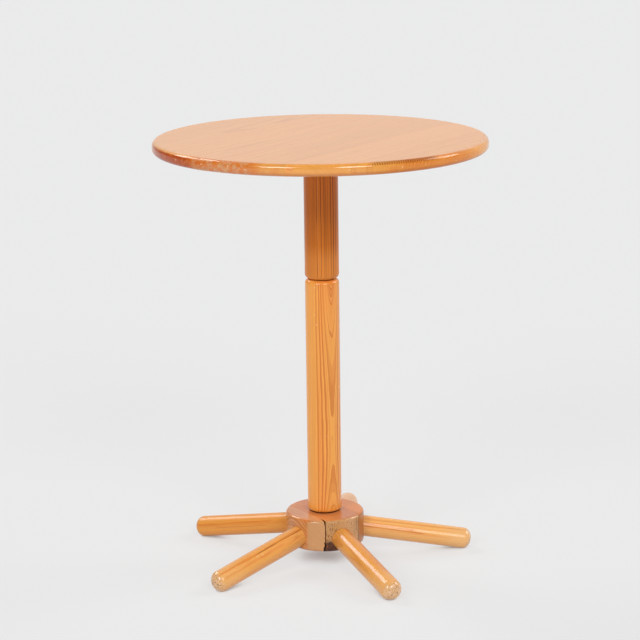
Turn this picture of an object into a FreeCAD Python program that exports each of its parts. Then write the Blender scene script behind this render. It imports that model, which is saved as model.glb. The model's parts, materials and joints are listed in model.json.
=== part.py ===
"""Wine table: a round pine top on a split column that screws up and down, a glued hub and five legs.

Millimetres, +Z up. The origin is on the floor, on the column's axis. Seen from the front, +X is to the
right and +Y goes away.
"""
import FreeCAD, Part
import os

import Sketcher

LEG_NAMES = ["leg_back", "leg_left", "leg_front_left", "leg_front_right", "leg_right"]
SCREW_COUNT_PER_ROW = 4
SCREW_ROWS = 2
BUSH_PINS = 2
TOP_BOARD_COUNT = 7
# Cutting solids run this far past the faces that they cut
OVERCUT = 1.0
# A rounded or bevelled edge takes at most this share of the wall that it is on
EDGE_SHARE = 0.45
# Turns of the nut's groove past the ends of the bush
SPARE_TURNS = 3
# Edges are found by their place, to within this
NEAR = 1e-4

# Driving dimensions, in millimetres and degrees
SIZES = {
    # Top: boards glued edge to edge
    "table_height": 720,
    "top_diameter": 550,
    "top_thickness": 20,
    "top_edge_round": 8,
    "first_board_width": 86,
    "last_board_width": 44,
    "board_azimuth": 56,
    # Cleat under the top, across the boards
    "cleat_length": 260,
    "cleat_width": 80,
    "cleat_thickness": 20,
    "cleat_chamfer": 5,
    "cleat_screw_diameter": 4.5,
    "cleat_screw_head": 9,
    "cleat_screw_slot": 1.2,
    "cleat_screw_slot_depth": 0.9,
    "cleat_screw_bite": 12,
    "cleat_screw_spacing": 72,
    "cleat_screw_row_spacing": 52,
    # Column, split between the fixed lower post and the upper post
    "column_diameter": 57,
    "split_height": 484.5,
    "split_gap": 1,
    "upper_post_round": 7.5,
    "lower_post_round": 7,
    "tenon_diameter": 32,
    "tenon_length": 34,
    # Height screw: the spindle, its nut and the guide at its foot
    "lift_travel": 120,
    "spindle_diameter": 30,
    "thread_pitch": 10,
    "thread_depth": 4,
    "thread_crest": 2,
    "thread_root": 2.8,
    "thread_clearance": 0.4,
    "thread_flank_clearance": 0.5,
    "bush_length": 60,
    "bush_wall": 4.6,
    "bush_ledge": 2.7,
    "bush_pin_diameter": 6,
    "bush_pin_length": 25,
    "guide_length": 34,
    "journal_diameter": 16,
    "guide_washer_diameter": 26,
    "guide_washer_thickness": 2,
    "guide_screw_diameter": 5,
    "guide_screw_length": 35,
    "guide_screw_head": 10,
    "guide_screw_head_height": 4,
    "wedge_width": 26,
    "wedge_length": 18,
    "wedge_thickness": 3,
    "wedge_tip": 1.2,
    # Hub: three boards glued side by side
    "hub_diameter": 132,
    "hub_thickness": 55,
    "hub_socket_floor": 3,
    "hub_edge_round": 5.5,
    "hub_azimuth": 125,
    "hub_left_joint": 37.4,
    "hub_right_joint": 28,
    # Legs: round rods glued into sockets in the hub
    "leg_diameter": 35.4,
    "leg_reach": 252,
    "leg_slope_angle": 10.7,
    "leg_azimuth": 80,
    "leg_end_round": 14,
    "leg_socket_depth": 38,
    "foot_flat": 1,
    # Coach screw that draws the lower post into the hub
    "bolt_diameter": 8,
    "bolt_length": 80,
    "bolt_head_width": 13,
    "bolt_head_height": 5.5,
    "bolt_washer_diameter": 24,
    "bolt_washer_thickness": 2,
    "bolt_recess_depth": 9,
    # Clearances
    "glue_gap": 0.1,
    "running_gap": 0.3,
}

# Heights and radii that several pieces share, as expressions on the sheet
TOP_UNDERSIDE = "(dims.table_height - dims.top_thickness)"
CLEAT_UNDERSIDE = f"({TOP_UNDERSIDE} - dims.cleat_thickness)"
COLUMN_RADIUS = "(dims.column_diameter / 2)"
UPPER_POST_BOTTOM = "(dims.split_height + dims.split_gap)"
BUSH_BOTTOM = "(dims.split_height - dims.bush_length)"
SPINDLE_RADIUS = "(dims.spindle_diameter / 2)"
SPINDLE_HOLE = f"({SPINDLE_RADIUS} + dims.glue_gap)"
CORE_RADIUS = f"({SPINDLE_RADIUS} - dims.thread_depth)"
BUSH_RADIUS = f"({SPINDLE_RADIUS} + dims.thread_clearance + dims.bush_wall)"
GUIDE_BORE = f"({BUSH_RADIUS} - dims.bush_ledge)"
GUIDE_TOP = f"({BUSH_BOTTOM} - dims.lift_travel - dims.running_gap)"
GUIDE_BOTTOM = f"({GUIDE_TOP} - dims.guide_length)"
GUIDE_RECESS_TOP = (
    f"({GUIDE_BOTTOM} + dims.guide_washer_thickness + dims.guide_screw_head_height + 3 * dims.running_gap)"
)
THREAD_BOTTOM = f"({GUIDE_TOP} + dims.running_gap)"
JOURNAL_RADIUS = "(dims.journal_diameter / 2)"
JOURNAL_BOTTOM = f"({GUIDE_RECESS_TOP} - dims.running_gap)"
GUIDE_WASHER_BOTTOM = f"({JOURNAL_BOTTOM} - dims.guide_washer_thickness)"
GUIDE_SCREW_TIP = f"({GUIDE_WASHER_BOTTOM} + dims.guide_screw_length)"
HUB_RADIUS = "(dims.hub_diameter / 2)"
LEG_RADIUS = "(dims.leg_diameter / 2)"
LEG_TILT = "(dims.leg_slope_angle * 1deg)"
LEG_ROOT_REACH = f"({HUB_RADIUS} - dims.leg_socket_depth)"
LEG_LENGTH = f"((dims.leg_reach - {LEG_ROOT_REACH}) / cos({LEG_TILT}))"
LEG_END_ROUND = f"min(dims.leg_end_round; 2 * {EDGE_SHARE} * {LEG_RADIUS})"
LEG_TIP_HEIGHT = (
    f"({LEG_END_ROUND} + ({LEG_RADIUS} - {LEG_END_ROUND}) * cos({LEG_TILT})"
    f" - {LEG_END_ROUND} * sin({LEG_TILT}) - dims.foot_flat)"
)
LEG_ROOT_HEIGHT = f"({LEG_TIP_HEIGHT} + {LEG_LENGTH} * sin({LEG_TILT}))"
LEG_SOCKET_UNDERSIDE = (
    f"({LEG_TIP_HEIGHT} + (dims.leg_reach - {HUB_RADIUS}) * tan({LEG_TILT}) - {LEG_RADIUS} / cos({LEG_TILT}))"
)
HUB_BOTTOM = f"({LEG_SOCKET_UNDERSIDE} - dims.hub_socket_floor)"
HUB_TOP = f"({HUB_BOTTOM} + dims.hub_thickness)"
TENON_RADIUS = "(dims.tenon_diameter / 2)"
TENON_BOTTOM = f"({HUB_TOP} - dims.tenon_length)"
BOLT_RADIUS = "(dims.bolt_diameter / 2)"
BOLT_HOLE = f"({BOLT_RADIUS} + dims.glue_gap)"
BOLT_SEAT = f"({HUB_BOTTOM} + dims.bolt_recess_depth)"
BOLT_WASHER_BOTTOM = f"({BOLT_SEAT} - dims.bolt_washer_thickness)"
BOLT_TIP = f"({BOLT_WASHER_BOTTOM} + dims.bolt_length)"

doc = FreeCAD.newDocument("wine_table")
sheet = doc.addObject("Spreadsheet::Sheet", "dims")
for row, (alias, size) in enumerate(SIZES.items(), start=1):
    sheet.set(f"A{row}", str(size))
    sheet.setAlias(f"A{row}", alias)
doc.recompute()

pieces = {}


def number(expression):
    """The present value of an expression on the sheet."""
    result = sheet.evalExpression(expression)
    return float(getattr(result, "Value", result))


def bind(item, **expressions):
    """Tie properties of a document object to expressions on the sheet."""
    for name, expression in expressions.items():
        item.setExpression(name, expression)


def turned_about_z(azimuth, x="0", y="0", z="0"):
    """Placement at x, y, z in a frame that is turned about the column's axis."""
    turn = f"placement(vector(0; 0; 0); rotation(vector(0; 0; 1); {azimuth} * 1deg))"
    shift = f"placement(vector({x}; {y}; {z}); rotation(vector(0; 0; 1); 0deg))"
    return f"{turn} * {shift}"


def origin_feature(body, role):
    """A body's own origin plane or axis."""
    return next(feature for feature in body.Origin.OriginFeatures if feature.Role == role)


def new_body(name):
    return doc.addObject("PartDesign::Body", name)


def outline(body, name, corners):
    """Closed sketch of straight sides on the XZ plane; each corner is a radius and a height."""
    sketch = body.newObject("Sketcher::SketchObject", name)
    sketch.AttachmentSupport = [(origin_feature(body, "XZ_Plane"), "")]
    sketch.MapMode = "FlatFace"
    points = [FreeCAD.Vector(number(x), number(y), 0) for x, y in corners]
    count = len(corners)
    for index, point in enumerate(points):
        sketch.addGeometry(Part.LineSegment(point, points[(index + 1) % count]), False)
    for index in range(count):
        sketch.addConstraint(Sketcher.Constraint("Coincident", index, 2, (index + 1) % count, 1))
    horizontal_axis, vertical_axis = -1, -2
    for index, (x, y) in enumerate(corners):
        for kind, expression, axis in (("DistanceX", x, vertical_axis), ("DistanceY", y, horizontal_axis)):
            if expression == "0":
                sketch.addConstraint(Sketcher.Constraint("PointOnObject", index, 1, axis))
                continue
            datum = Sketcher.Constraint(kind, -1, 1, index, 1, number(expression))
            constraint = sketch.addConstraint(datum)
            sketch.setExpression(f"Constraints[{constraint}]", expression)
    doc.recompute()
    return sketch


def revolve(body, corners):
    """Solid of revolution about the body's Z axis."""
    sketch = outline(body, f"{body.Name}_outline", corners)
    solid = body.newObject("PartDesign::Revolution", f"{body.Name}_turned")
    solid.Profile = sketch
    solid.ReferenceAxis = (sketch, ["V_Axis"])
    solid.Angle = 360
    doc.recompute()
    return solid


def round_circles(body, feature, radius_size, circles):
    """Fillet the circular edges that lie at the given radii and heights."""
    wanted = [(number(radius), number(height)) for radius, height in circles]
    names = []
    for index, edge in enumerate(feature.Shape.Edges, start=1):
        if not isinstance(edge.Curve, Part.Circle):
            continue
        for radius, height in wanted:
            if abs(edge.Curve.Radius - radius) < NEAR and abs(edge.Curve.Center.z - height) < NEAR:
                names.append(f"Edge{index}")
    fillet = body.newObject("PartDesign::Fillet", f"{body.Name}_round")
    fillet.Base = (feature, names)
    fillet.setExpression("Radius", radius_size)
    doc.recompute()
    return fillet


def primitive(body, kind, name, placement=None, **sizes):
    """Additive or subtractive primitive of a body, with its sizes and placement on the sheet."""
    item = body.newObject(f"PartDesign::{kind}", name)
    bind(item, **sizes)
    if placement:
        item.setExpression("Placement", placement)
    doc.recompute()
    return item


def polar_pattern(body, feature, count):
    pattern = body.newObject("PartDesign::PolarPattern", f"{body.Name}_ring")
    pattern.Originals = [feature]
    pattern.Axis = (origin_feature(body, "Z_Axis"), [""])
    pattern.Angle = 360
    pattern.Occurrences = count
    body.Tip = pattern
    doc.recompute()
    return pattern


def screw_pattern(body, feature):
    """Repeat a feature from the first cleat screw's place to all of them: rows in X, along the cleat in Y."""
    grid = body.newObject("PartDesign::MultiTransform", f"{body.Name}_grid")
    grid.Originals = [feature]
    directions = []
    for axis, count, length in (
        ("X_Axis", SCREW_ROWS, f"{SCREW_ROWS - 1} * dims.cleat_screw_row_spacing"),
        ("Y_Axis", SCREW_COUNT_PER_ROW, f"{SCREW_COUNT_PER_ROW - 1} * dims.cleat_screw_spacing"),
    ):
        line = body.newObject("PartDesign::LinearPattern", f"{body.Name}_{axis}")
        line.Direction = (origin_feature(body, axis), [""])
        line.setExpression("Length", length)
        line.Occurrences = count
        directions.append(line)
    grid.Transformations = directions
    body.Tip = grid
    doc.recompute()
    return grid


def keep(name, item):
    """Make an object of the document a piece of the table, under its own name."""
    item.Label = name
    pieces[name] = item


def ring(name, inner, outer, bottom, top):
    """Body with a plain round bore, as a finished piece or as the start of one."""
    body = new_body(name)
    solid = revolve(body, [(inner, bottom), (outer, bottom), (outer, top), (inner, top)])
    return body, solid


def boolean(kind, name, base, tool):
    item = doc.addObject(f"Part::{kind}", name)
    item.Base = base
    item.Tool = tool
    doc.recompute()
    return item


def slice_boards(names, blank, azimuth, joints, radius, bottom, thickness):
    """Cut a round blank into boards that run along an azimuth, at joints given across the boards."""
    edges = [f"-{radius} - {OVERCUT}"] + joints + [f"{radius} + {OVERCUT}"]
    for name, near, far in zip(names, edges, edges[1:]):
        slab = doc.addObject("Part::Box", f"{name}_slab")
        bind(
            slab, Length=f"2 * ({radius} + {OVERCUT})", Width=f"({far}) - ({near})",
            Height=f"{thickness} + 2 * {OVERCUT}",
            Placement=turned_about_z(azimuth, f"-{radius} - {OVERCUT}", near, f"{bottom} - {OVERCUT}"),
        )
        keep(name, boolean("Common", name, blank, slab))


# First screw of the cleat, in the frame of the boards
FIRST_SCREW_X = f"(-{(SCREW_ROWS - 1) / 2} * dims.cleat_screw_row_spacing)"
FIRST_SCREW_Y = f"(-{(SCREW_COUNT_PER_ROW - 1) / 2} * dims.cleat_screw_spacing)"


def at_first_screw(height):
    return turned_about_z("0", FIRST_SCREW_X, FIRST_SCREW_Y, height)


def make_top_boards():
    """Round top with eased rims and pilot holes for the cleat screws, sliced along its glue joints."""
    radius = "(dims.top_diameter / 2)"
    blank = new_body("top_blank")
    corners = [("0", TOP_UNDERSIDE), (radius, TOP_UNDERSIDE), (radius, "dims.table_height")]
    disc = revolve(blank, corners + [("0", "dims.table_height")])
    rims = [(radius, TOP_UNDERSIDE), (radius, "dims.table_height")]
    round_circles(blank, disc, f"min(dims.top_edge_round; {EDGE_SHARE} * dims.top_thickness)", rims)
    pilot = primitive(
        blank, "SubtractiveCylinder", "top_pilot", at_first_screw(f"({TOP_UNDERSIDE} - {OVERCUT})"),
        Radius="dims.cleat_screw_diameter / 2 + dims.glue_gap",
        Height=f"dims.cleat_screw_bite + dims.glue_gap + {OVERCUT}",
    )
    screw_pattern(blank, pilot)
    blank.setExpression("Placement", turned_about_z("dims.board_azimuth"))
    # The two outer boards have their own widths, and the others share the rest evenly
    inner_boards = TOP_BOARD_COUNT - 2
    width = f"((dims.top_diameter - dims.first_board_width - dims.last_board_width) / {inner_boards})"
    first_joint = f"dims.first_board_width - {radius}"
    joints = [f"{first_joint} + {place} * {width}" for place in range(inner_boards + 1)]
    names = [f"top_board_{place + 1}" for place in range(TOP_BOARD_COUNT)]
    slice_boards(names, blank, "dims.board_azimuth", joints, radius, TOP_UNDERSIDE, "dims.top_thickness")


def make_cleat():
    """Bar across the boards with a bevelled lower edge, countersunk holes and the spindle's hole."""
    body = new_body("top_cleat")
    bar = primitive(
        body, "AdditiveBox", "cleat_bar",
        turned_about_z("0", "-dims.cleat_width / 2", "-dims.cleat_length / 2", CLEAT_UNDERSIDE),
        Length="dims.cleat_width", Width="dims.cleat_length", Height="dims.cleat_thickness",
    )
    floor = number(CLEAT_UNDERSIDE)
    names = [
        f"Edge{index}" for index, edge in enumerate(bar.Shape.Edges, start=1)
        if all(abs(vertex.Point.z - floor) < NEAR for vertex in edge.Vertexes)
    ]
    bevel = body.newObject("PartDesign::Chamfer", "cleat_bevel")
    bevel.Base = (bar, names)
    bevel.setExpression("Size", f"min(dims.cleat_chamfer; {EDGE_SHARE} * dims.cleat_thickness)")
    doc.recompute()
    primitive(
        body, "SubtractiveCylinder", "cleat_spindle_hole",
        turned_about_z("0", z=f"({CLEAT_UNDERSIDE} - {OVERCUT})"),
        Radius=SPINDLE_HOLE, Height=f"dims.cleat_thickness + 2 * {OVERCUT}",
    )
    hole = primitive(
        body, "SubtractiveCylinder", "cleat_screw_hole", at_first_screw(f"({CLEAT_UNDERSIDE} - {OVERCUT})"),
        Radius="dims.cleat_screw_diameter / 2 + dims.glue_gap",
        Height=f"dims.cleat_thickness + 2 * {OVERCUT}",
    )
    screw_pattern(body, hole)
    countersink = primitive(
        body, "SubtractiveCone", "cleat_countersink", at_first_screw(CLEAT_UNDERSIDE),
        Radius1="dims.cleat_screw_head / 2 + dims.glue_gap",
        Radius2="dims.cleat_screw_diameter / 2 + dims.glue_gap",
        Height="(dims.cleat_screw_head - dims.cleat_screw_diameter) / 2",
    )
    screw_pattern(body, countersink)
    body.setExpression("Placement", turned_about_z("dims.board_azimuth"))
    keep("top_cleat", body)


def make_cleat_screws():
    """Countersunk slotted wood screws, heads flush with the cleat's underside."""
    body = new_body("cleat_screws")
    head = "(dims.cleat_screw_head / 2)"
    shank = "(dims.cleat_screw_diameter / 2)"
    head_height = f"({head} - {shank})"
    tip = "(dims.cleat_thickness + dims.cleat_screw_bite)"
    cone_start = f"({tip} - dims.cleat_screw_diameter)"
    corners = [("0", "0"), (head, "0"), (shank, head_height), (shank, cone_start), ("0", tip)]
    screw_pattern(body, revolve(body, corners))
    slot = primitive(
        body, "SubtractiveBox", "cleat_screw_slot",
        turned_about_z("0", f"-{head}", "-dims.cleat_screw_slot / 2", f"-{OVERCUT}"),
        Length="dims.cleat_screw_head", Width="dims.cleat_screw_slot",
        Height=f"dims.cleat_screw_slot_depth + {OVERCUT}",
    )
    screw_pattern(body, slot)
    place = turned_about_z("dims.board_azimuth", FIRST_SCREW_X, FIRST_SCREW_Y, CLEAT_UNDERSIDE)
    body.setExpression("Placement", place)
    keep("cleat_screws", body)


def make_upper_post():
    body, tube = ring("upper_post", SPINDLE_HOLE, COLUMN_RADIUS, UPPER_POST_BOTTOM, CLEAT_UNDERSIDE)
    wall = f"({COLUMN_RADIUS} - {SPINDLE_HOLE})"
    edge = f"min(dims.upper_post_round; 2 * {EDGE_SHARE} * {wall})"
    round_circles(body, tube, edge, [(COLUMN_RADIUS, UPPER_POST_BOTTOM)])
    keep("upper_post", body)


def thread_profile(body, name, gap, depth_gap, centre):
    """Section of the thread on the XZ plane: a trapezium that reaches past the core by the overcut."""
    half_crest = "(dims.thread_crest / 2)"
    half_base = "((dims.thread_pitch - dims.thread_root) / 2)"
    flank = f"(({half_base} - {half_crest}) / dims.thread_depth)"
    inner = f"({CORE_RADIUS} - {OVERCUT})"
    outer = f"({SPINDLE_RADIUS} + {depth_gap})"
    half_inner = f"({half_base} + {flank} * {OVERCUT} + {gap})"
    half_outer = f"({half_crest} - {flank} * {depth_gap} + {gap})"
    corners = [
        (inner, f"{centre} - {half_inner}"),
        (outer, f"{centre} - {half_outer}"),
        (outer, f"{centre} + {half_outer}"),
        (inner, f"{centre} + {half_inner}"),
    ]
    return outline(body, name, corners)


THREAD_START = f"({THREAD_BOTTOM} + dims.thread_pitch / 2)"


def helix(body, kind, name, sketch, height):
    thread = body.newObject(f"PartDesign::{kind}", name)
    thread.Profile = sketch
    thread.ReferenceAxis = (sketch, ["V_Axis"])
    thread.Mode = "pitch-height-angle"
    bind(thread, Pitch="dims.thread_pitch", Height=height)
    doc.recompute()
    return thread


def wedge_sizes(gap):
    """Tapered section of the wedge, or of its kerf with a gap all round, along its own Y axis."""
    return {
        "Xmin": f"-dims.wedge_tip / 2 - {gap}", "Xmax": f"dims.wedge_tip / 2 + {gap}",
        "X2min": f"-dims.wedge_thickness / 2 - {gap}", "X2max": f"dims.wedge_thickness / 2 + {gap}",
        "Ymin": f"-{gap}", "Ymax": "dims.wedge_length",
        "Zmin": f"-dims.wedge_width / 2 - {gap}", "Zmax": f"dims.wedge_width / 2 + {gap}",
        "Z2min": f"-dims.wedge_width / 2 - {gap}", "Z2max": f"dims.wedge_width / 2 + {gap}",
    }


WEDGE_PLACE = (
    f"placement(vector(0; 0; {TOP_UNDERSIDE} - dims.wedge_length); rotation(vector(1; 0; 0); 90deg))"
)


def make_spindle():
    """Wooden height screw: threaded stretch, journal for the guide, and a plain end for post and cleat."""
    body = new_body("spindle")
    pilot = "(dims.guide_screw_diameter / 2 + dims.glue_gap)"
    pilot_top = f"({GUIDE_SCREW_TIP} + dims.glue_gap)"
    revolve(body, [
        (pilot, JOURNAL_BOTTOM),
        (JOURNAL_RADIUS, JOURNAL_BOTTOM),
        (JOURNAL_RADIUS, THREAD_BOTTOM),
        (CORE_RADIUS, THREAD_BOTTOM),
        (CORE_RADIUS, UPPER_POST_BOTTOM),
        (SPINDLE_RADIUS, UPPER_POST_BOTTOM),
        (SPINDLE_RADIUS, TOP_UNDERSIDE),
        ("0", TOP_UNDERSIDE),
        ("0", pilot_top),
        (pilot, pilot_top),
    ])
    primitive(body, "SubtractiveWedge", "spindle_kerf", WEDGE_PLACE, **wedge_sizes("dims.glue_gap"))
    ridge = thread_profile(body, "spindle_ridge", "0", "0", THREAD_START)
    thread_height = f"{UPPER_POST_BOTTOM} - {THREAD_BOTTOM} - dims.thread_pitch"
    helix(body, "AdditiveHelix", "spindle_thread", ridge, thread_height)
    keep("spindle", body)

    wedge = new_body("spindle_wedge")
    primitive(wedge, "AdditiveWedge", "wedge_taper", WEDGE_PLACE, **wedge_sizes("0"))
    keep("spindle_wedge", wedge)


def make_thread_bush():
    """Nut of the height screw, let into the top of the lower post and pinned against turning."""
    inner = f"({CORE_RADIUS} + dims.thread_clearance)"
    body, _ = ring("thread_bush", inner, BUSH_RADIUS, BUSH_BOTTOM, "dims.split_height")
    whole_turns = f"floor(({BUSH_BOTTOM} - {THREAD_START}) / dims.thread_pitch - 1)"
    start = f"({THREAD_START} + {whole_turns} * dims.thread_pitch)"
    flank_gap, depth_gap = "dims.thread_flank_clearance", "dims.thread_clearance"
    groove = thread_profile(body, "bush_groove", flank_gap, depth_gap, start)
    groove_height = f"dims.bush_length + {SPARE_TURNS} * dims.thread_pitch"
    helix(body, "SubtractiveHelix", "bush_thread", groove, groove_height)
    cut_pin_holes(body)
    keep("thread_bush", body)

    pins = new_body("bush_pins")
    pin_bottom = "(dims.split_height - dims.bush_pin_length)"
    pin = primitive(
        pins, "AdditiveCylinder", "bush_pin", turned_about_z("0", x=BUSH_RADIUS, z=pin_bottom),
        Radius="dims.bush_pin_diameter / 2", Height="dims.bush_pin_length",
    )
    polar_pattern(pins, pin, BUSH_PINS)
    keep("bush_pins", pins)


def cut_pin_holes(body):
    """Holes for the pins, half in the bush and half in the post."""
    bottom = "(dims.split_height - dims.bush_pin_length - dims.glue_gap)"
    hole = primitive(
        body, "SubtractiveCylinder", f"{body.Name}_pin_hole", turned_about_z("0", x=BUSH_RADIUS, z=bottom),
        Radius="dims.bush_pin_diameter / 2 + dims.glue_gap",
        Height=f"dims.bush_pin_length + dims.glue_gap + {OVERCUT}",
    )
    polar_pattern(body, hole, BUSH_PINS)


def make_guide():
    """Sleeve on the spindle's foot that slides in the lower post, and the washer and screw below it."""
    outer = f"({GUIDE_BORE} - dims.running_gap)"
    inner = f"({JOURNAL_RADIUS} + dims.running_gap)"
    washer = "(dims.guide_washer_diameter / 2)"
    recess = f"({washer} + dims.running_gap)"
    body = new_body("spindle_guide")
    revolve(body, [
        (recess, GUIDE_BOTTOM),
        (outer, GUIDE_BOTTOM),
        (outer, GUIDE_TOP),
        (inner, GUIDE_TOP),
        (inner, GUIDE_RECESS_TOP),
        (recess, GUIDE_RECESS_TOP),
    ])
    keep("spindle_guide", body)

    shank = "(dims.guide_screw_diameter / 2)"
    hole = f"({shank} + dims.glue_gap)"
    keep("guide_washer", ring("guide_washer", hole, washer, GUIDE_WASHER_BOTTOM, JOURNAL_BOTTOM)[0])

    screw = new_body("guide_screw")
    head = "(dims.guide_screw_head / 2)"
    head_bottom = f"({GUIDE_WASHER_BOTTOM} - dims.guide_screw_head_height)"
    cone_start = f"({GUIDE_SCREW_TIP} - dims.guide_screw_diameter)"
    head_solid = revolve(screw, [
        ("0", head_bottom),
        (head, head_bottom),
        (head, GUIDE_WASHER_BOTTOM),
        (shank, GUIDE_WASHER_BOTTOM),
        (shank, cone_start),
        ("0", GUIDE_SCREW_TIP),
    ])
    crown = f"2 * {EDGE_SHARE} * min({head}; dims.guide_screw_head_height)"
    round_circles(screw, head_solid, crown, [(head, head_bottom)])
    keep("guide_screw", screw)


def make_lower_post():
    """Fixed post: tenon below, bored from above for the guide and the bush, drilled for the coach screw."""
    body = new_body("lower_post")
    bush_hole = f"({BUSH_RADIUS} + dims.glue_gap)"
    pilot_top = f"({BOLT_TIP} + dims.glue_gap)"
    post = revolve(body, [
        (BOLT_HOLE, TENON_BOTTOM),
        (TENON_RADIUS, TENON_BOTTOM),
        (TENON_RADIUS, HUB_TOP),
        (COLUMN_RADIUS, HUB_TOP),
        (COLUMN_RADIUS, "dims.split_height"),
        (bush_hole, "dims.split_height"),
        (bush_hole, BUSH_BOTTOM),
        (GUIDE_BORE, BUSH_BOTTOM),
        (GUIDE_BORE, GUIDE_BOTTOM),
        ("0", GUIDE_BOTTOM),
        ("0", pilot_top),
        (BOLT_HOLE, pilot_top),
    ])
    wall = f"2 * {EDGE_SHARE} * min({COLUMN_RADIUS} - {bush_hole}; {COLUMN_RADIUS} - {TENON_RADIUS})"
    ends = [(COLUMN_RADIUS, HUB_TOP), (COLUMN_RADIUS, "dims.split_height")]
    round_circles(body, post, f"min(dims.lower_post_round; {wall})", ends)
    cut_pin_holes(body)
    keep("lower_post", body)


def leg_placement(azimuth, reach, height):
    """Frame of a leg: its Z axis runs outwards and down along the leg."""
    heading = f"({azimuth} * 1deg)"
    return (
        f"placement(vector({reach} * cos({heading}); {reach} * sin({heading}); {height});"
        f" rotation(vector(0; 0; 1); {heading}) * rotation(vector(0; 1; 0); 90deg + {LEG_TILT}))"
    )


def make_hub():
    """Round hub with a mortise, a recess for the coach screw and five sloping sockets, in three boards."""
    blank = new_body("hub_blank")
    mortise = f"({TENON_RADIUS} + dims.glue_gap)"
    mortise_floor = f"({TENON_BOTTOM} - dims.glue_gap)"
    recess = "(dims.bolt_washer_diameter / 2 + 2 * dims.running_gap)"
    turned = revolve(blank, [
        (BOLT_HOLE, BOLT_SEAT),
        (recess, BOLT_SEAT),
        (recess, HUB_BOTTOM),
        (HUB_RADIUS, HUB_BOTTOM),
        (HUB_RADIUS, HUB_TOP),
        (mortise, HUB_TOP),
        (mortise, mortise_floor),
        (BOLT_HOLE, mortise_floor),
    ])
    edge = f"min(dims.hub_edge_round; {EDGE_SHARE} * dims.hub_thickness)"
    round_circles(blank, turned, edge, [(HUB_RADIUS, HUB_BOTTOM), (HUB_RADIUS, HUB_TOP)])
    root = f"({LEG_ROOT_REACH} - dims.glue_gap * cos({LEG_TILT}))"
    root_height = f"({LEG_ROOT_HEIGHT} + dims.glue_gap * sin({LEG_TILT}))"
    socket = primitive(
        blank, "SubtractiveCylinder", "leg_socket", leg_placement("dims.leg_azimuth", root, root_height),
        Radius=f"{LEG_RADIUS} + dims.glue_gap", Height=LEG_LENGTH,
    )
    polar_pattern(blank, socket, len(LEG_NAMES))
    joints = ["-dims.hub_right_joint", "dims.hub_left_joint"]
    names = ["hub_right_board", "hub_middle_board", "hub_left_board"]
    slice_boards(names, blank, "dims.hub_azimuth", joints, HUB_RADIUS, HUB_BOTTOM, "dims.hub_thickness")


def make_legs():
    """Five round rods with a rounded outer end, cut flat where they stand on the floor."""
    half_floor = "(dims.leg_reach + dims.leg_diameter)"
    floor = doc.addObject("Part::Box", "floor_cut")
    bind(
        floor, Length=f"2 * {half_floor}", Width=f"2 * {half_floor}", Height="dims.leg_diameter",
        Placement=turned_about_z("0", f"-{half_floor}", f"-{half_floor}", "-dims.leg_diameter"),
    )
    for index, name in enumerate(LEG_NAMES):
        rod = new_body(f"{name}_rod")
        end = (LEG_RADIUS, LEG_LENGTH)
        turned = revolve(rod, [("0", "0"), (LEG_RADIUS, "0"), end, ("0", LEG_LENGTH)])
        round_circles(rod, turned, LEG_END_ROUND, [end])
        azimuth = f"(dims.leg_azimuth + {index} * 360 / {len(LEG_NAMES)})"
        rod.setExpression("Placement", leg_placement(azimuth, LEG_ROOT_REACH, LEG_ROOT_HEIGHT))
        keep(name, boolean("Cut", name, rod, floor))


def make_post_bolt():
    """Coach screw and washer, sunk in the hub's underside."""
    washer = "(dims.bolt_washer_diameter / 2)"
    keep("post_washer", ring("post_washer", BOLT_HOLE, washer, BOLT_WASHER_BOTTOM, BOLT_SEAT)[0])
    head = doc.addObject("Part::Prism", "bolt_head")
    head.Polygon = 6
    bind(head, Circumradius="dims.bolt_head_width / sqrt(3)", Height="dims.bolt_head_height")
    head_place = turned_about_z("0", z=f"({BOLT_WASHER_BOTTOM} - dims.bolt_head_height)")
    head.setExpression("Placement", head_place)
    shank_body = new_body("bolt_shank")
    cone_start = f"({BOLT_TIP} - dims.bolt_diameter)"
    revolve(shank_body, [
        ("0", BOLT_WASHER_BOTTOM),
        (BOLT_RADIUS, BOLT_WASHER_BOTTOM),
        (BOLT_RADIUS, cone_start),
        ("0", BOLT_TIP),
    ])
    keep("post_bolt", boolean("Fuse", "post_bolt", head, shank_body))


make_top_boards()
make_cleat()
make_cleat_screws()
make_upper_post()
make_spindle()
make_thread_bush()
make_guide()
make_lower_post()
make_hub()
make_legs()
make_post_bolt()
doc.recompute()

# Every object is sound before anything is written
for item in doc.Objects:
    if "Invalid" in item.State or "Error" in item.State:
        raise RuntimeError(f"{item.Label} failed to build: {item.State}")
for name, item in pieces.items():
    if item.Shape.isNull() or not item.Shape.isValid() or not item.Shape.Solids:
        raise RuntimeError(f"{name} has no valid solid")

os.makedirs("parts", exist_ok=True)
for name, item in pieces.items():
    item.Shape.exportStep(f"parts/{name}.step")
    print(f"{name}: {len(item.Shape.Solids)} solids, {item.Shape.Volume / 1000:.1f} cm3")
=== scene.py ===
import contextlib
import json
import math

import bmesh
import bpy
from mathutils import Matrix, Vector


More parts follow.
